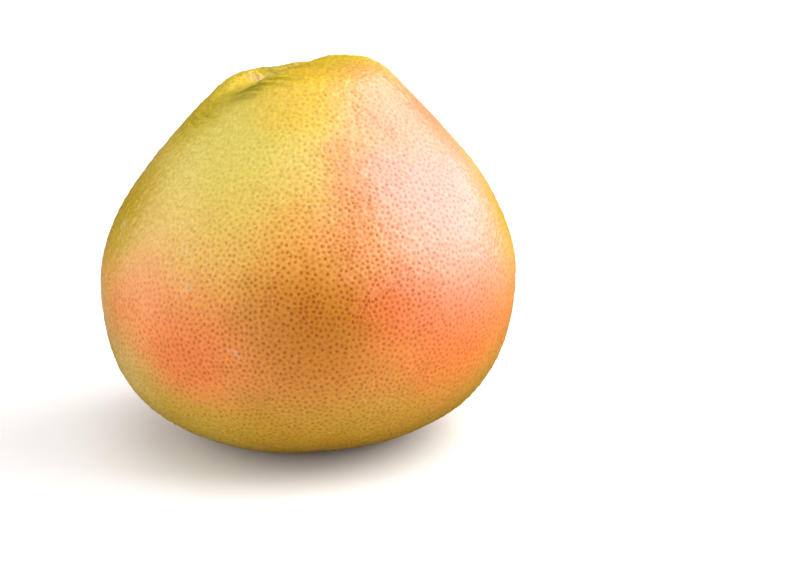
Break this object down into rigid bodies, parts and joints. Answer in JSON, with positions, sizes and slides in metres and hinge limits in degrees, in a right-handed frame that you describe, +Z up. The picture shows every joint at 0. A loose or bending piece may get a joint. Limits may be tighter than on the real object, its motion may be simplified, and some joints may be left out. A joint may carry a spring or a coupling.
{
  "type": "pomelo",
  "caption": "Whole ripe pomelo with a dimpled rind, standing on a small flat spot, its stem basin off centre on the crown.",
  "frame": {"origin": "middle of the flat spot that the fruit rests on", "axes": "+Z up from the flat spot towards the stem end, -Y towards the front of the fruit, +X to the right seen from the front"},
  "size_m": [0.1609, 0.1592, 0.1472],
  "materials": {
    "rind": "waxy satin citrus rind with fine oil-gland dimples, yellow-green to orange with a salmon blush"
  },
  "bodies": {
    "root": {"pomelo": "rind"}
  },
  "joints": []
}
